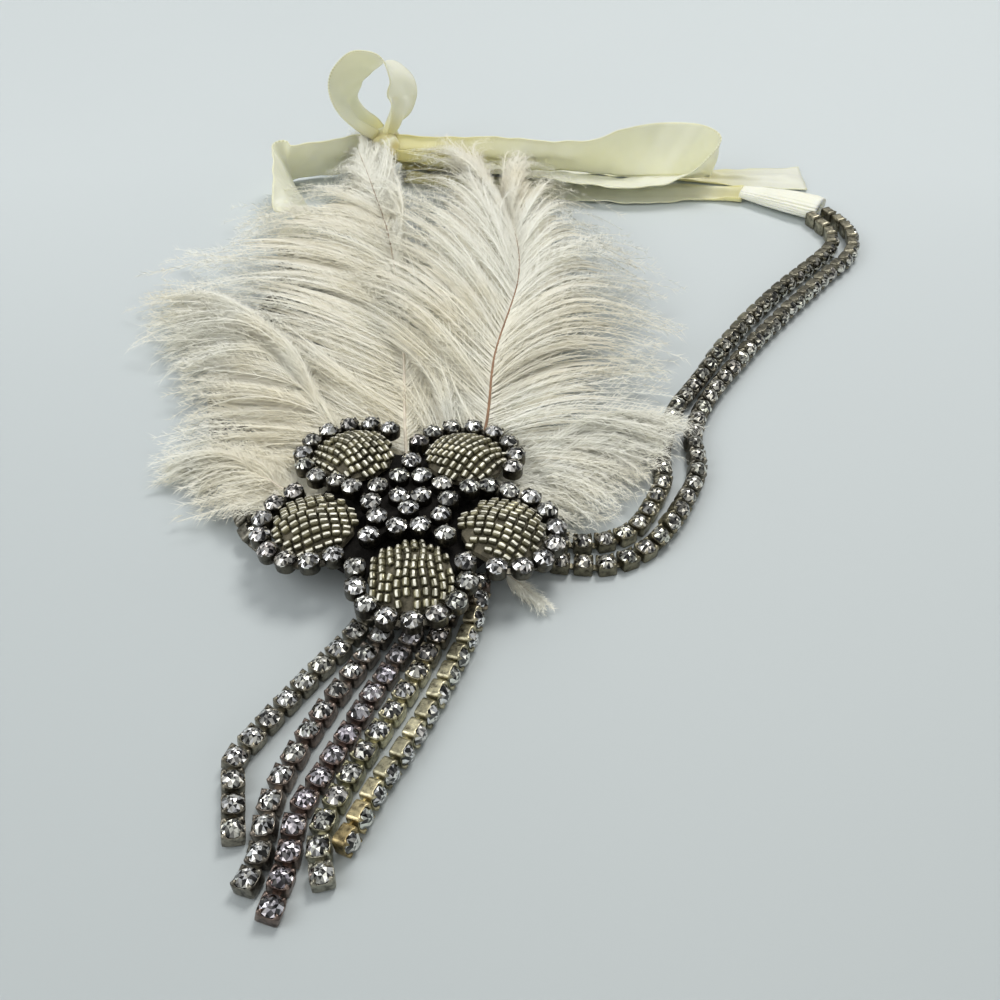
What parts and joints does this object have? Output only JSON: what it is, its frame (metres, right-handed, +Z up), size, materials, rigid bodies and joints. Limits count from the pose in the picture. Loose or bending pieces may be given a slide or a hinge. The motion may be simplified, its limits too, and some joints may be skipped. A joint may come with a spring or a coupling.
{
  "type": "feather headband with a beaded flower, stone chains and ribbon ties",
  "caption": "Flapper headband laid flat: beaded flower with stone-rimmed petals and hanging stone strands, cream plumes, double stone chains and a satin ribbon tied in a bow",
  "frame": {"origin": "middle of the underside of the part's box, on the table that the headband lies on", "axes": "+Z up from the table, +Y from the hanging strands towards the bow, +X to the right of the flower"},
  "size_m": [0.2058, 0.2752, 0.0355],
  "materials": {
    "pewter": "oxidised pewter cups set with clear foiled stones",
    "beads": "silver-lined champagne seed beads in rows",
    "felt": "dark felt",
    "plume": "cream ostrich feather",
    "satin": "pale yellow-green satin"
  },
  "bodies": {
    "root": {"flower_backing": "felt", "flower_centre": "pewter", "petal_front": "beads", "petal_right": "beads", "petal_back_right": "beads", "petal_back_left": "beads", "petal_left": "beads", "rim_front": "pewter", "rim_right": "pewter", "rim_back_right": "pewter", "rim_back_left": "pewter", "rim_left": "pewter", "pendant_strand_1": "pewter", "pendant_strand_2": "pewter", "pendant_strand_3": "pewter", "pendant_strand_4": "pewter", "pendant_strand_5": "pewter", "right_chain_outer": "pewter", "right_chain_inner": "pewter", "left_chain_outer": "pewter", "left_chain_inner": "pewter", "plume_right": "plume", "plume_main": "plume", "plume_back": "plume", "plume_left": "plume", "plume_low": "plume", "tuft_low": "plume", "ribbon_left": "satin", "bow_tail_right": "satin", "ribbon_right": "satin", "bow_tail_left": "satin", "bow_loop_top": "satin", "bow_loop_right": "satin", "sleeve_right": "satin", "sleeve_left": "satin", "bow_knot": "satin"}
  },
  "joints": []
}
